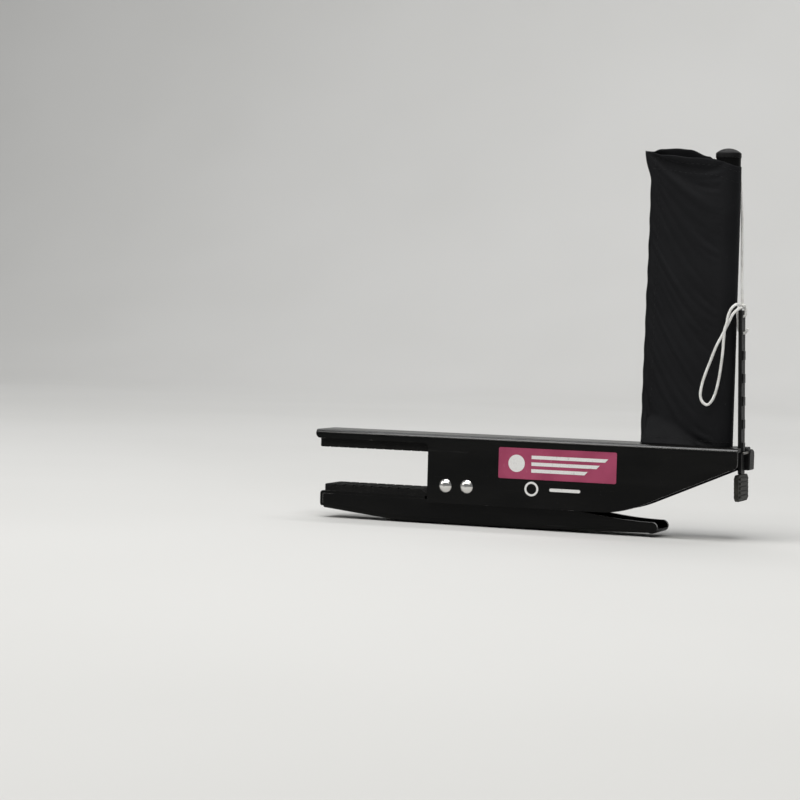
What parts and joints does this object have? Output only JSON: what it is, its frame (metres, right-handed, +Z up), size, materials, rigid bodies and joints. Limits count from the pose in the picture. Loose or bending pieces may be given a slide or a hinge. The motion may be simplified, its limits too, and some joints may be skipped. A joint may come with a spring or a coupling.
{
  "type": "table tennis net clamp",
  "caption": "Sprung sheet-steel clamp that grips a table's edge and carries a net post with its fabric sleeve, toothed tension strap and cord.",
  "frame": {"origin": "In the upper jaw pad's face, on the arm's middle plane, where the table's side edge stands", "axes": "+X runs outward from the table along the arm towards the post, +Y across the arm to its rear side, +Z up from the playing surface"},
  "size_m": [0.2234, 0.0294, 0.1897],
  "materials": {
    "powder_coat": "satin black powder coat, worn to bare steel at the edges",
    "zinc_steel": "zinc plated",
    "nickel": "bright nickel plated",
    "spring_steel": "oiled spring wire",
    "rubber": "matt black",
    "black_plastic": "moulded black nylon",
    "tab_plastic": "dark grey-green moulding",
    "label_print": "crimson print",
    "mark_print": "white print",
    "black_fabric": "woven black nylon",
    "white_cord": "braided off-white cord"
  },
  "bodies": {
    "arm": {"arm_bracket": "powder_coat", "upper_jaw_pad": "rubber", "pivot_rivet": "nickel", "stop_rivet": "nickel", "stop_spacer": "zinc_steel", "pivot_tube": "zinc_steel", "pivot_washers": "zinc_steel", "torsion_spring": "spring_steel", "net_post": "powder_coat", "post_insert": "zinc_steel", "post_washer": "zinc_steel", "post_spring_washer": "zinc_steel", "post_screw": "zinc_steel", "post_cap": "black_plastic", "arm_end_plug": "black_plastic", "strap_catch_pin": "spring_steel", "arm_label": "label_print", "arm_mark": "mark_print", "net_sleeve": "black_fabric", "tension_cord": "white_cord"},
    "lever": {"clamp_lever": "powder_coat", "lower_jaw_plate": "powder_coat", "lower_jaw_pad": "rubber"},
    "strap": {"tension_strap": "black_plastic", "strap_pull_tab": "tab_plastic"}
  },
  "joints": [
    {"name": "lever_pivot", "type": "hinge", "parent": "arm", "child": "lever", "pos_m": [0.0087, 0, -0.0166], "axis": [0, 1, 0], "range_deg": [-15, 16], "stiffness_Nm_per_rad": 2, "deforming": ["torsion_spring"]},
    {"name": "strap_slide", "type": "slide", "parent": "arm", "child": "strap", "axis": [0.0272, 0, -0.9996], "range_m": [-0.0015, 0.04], "stiffness_N_per_m": 25, "deforming": ["tension_cord"]}
  ]
}
